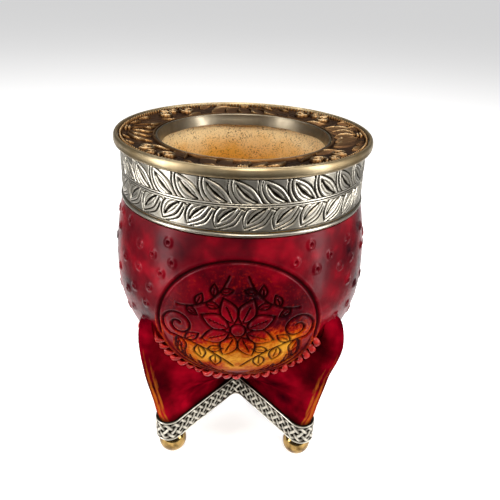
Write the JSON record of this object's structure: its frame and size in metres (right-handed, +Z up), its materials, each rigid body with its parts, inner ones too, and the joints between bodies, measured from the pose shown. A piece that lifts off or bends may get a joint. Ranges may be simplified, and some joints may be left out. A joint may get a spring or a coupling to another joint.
{
  "type": "mate gourd cup",
  "caption": "Mate cup: calabash covered in laced red leather, with a chased metal collar, a wide relief rim and a star-shaped leather base on ball feet",
  "frame": {"origin": "middle of the cup on the surface it stands on, under the centre of the four ball feet", "axes": "+Z up the cup's own axis to the mouth; -Y towards the carved medallion that the picture shows; +X to the right seen from there"},
  "size_m": [0.0922, 0.0922, 0.125],
  "materials": {
    "calabash": "dry scraped gourd skin, matte tan with fine dark specks",
    "red_leather": "dyed and waxed crimson leather with quill bumps",
    "chased_silver": "chased nickel silver with darkened grooves",
    "bright_silver": "polished nickel silver, warm",
    "red_lace": "bright red leather lace",
    "ball_brass": "polished pale brass"
  },
  "bodies": {
    "root": {"gourd_shell": "calabash", "body_leather": "red_leather", "base_leather": "red_leather", "rim_flange": "chased_silver", "collar_band": "chased_silver", "braid_band": "chased_silver", "rim_bead": "bright_silver", "mouth_collar": "bright_silver", "collar_wire": "bright_silver", "seam_lace_1": "red_lace", "seam_lace_2": "red_lace", "seam_lace_3": "red_lace", "seam_lace_4": "red_lace", "ball_foot_1": "ball_brass", "ball_foot_2": "ball_brass", "ball_foot_3": "ball_brass", "ball_foot_4": "ball_brass"}
  },
  "joints": []
}
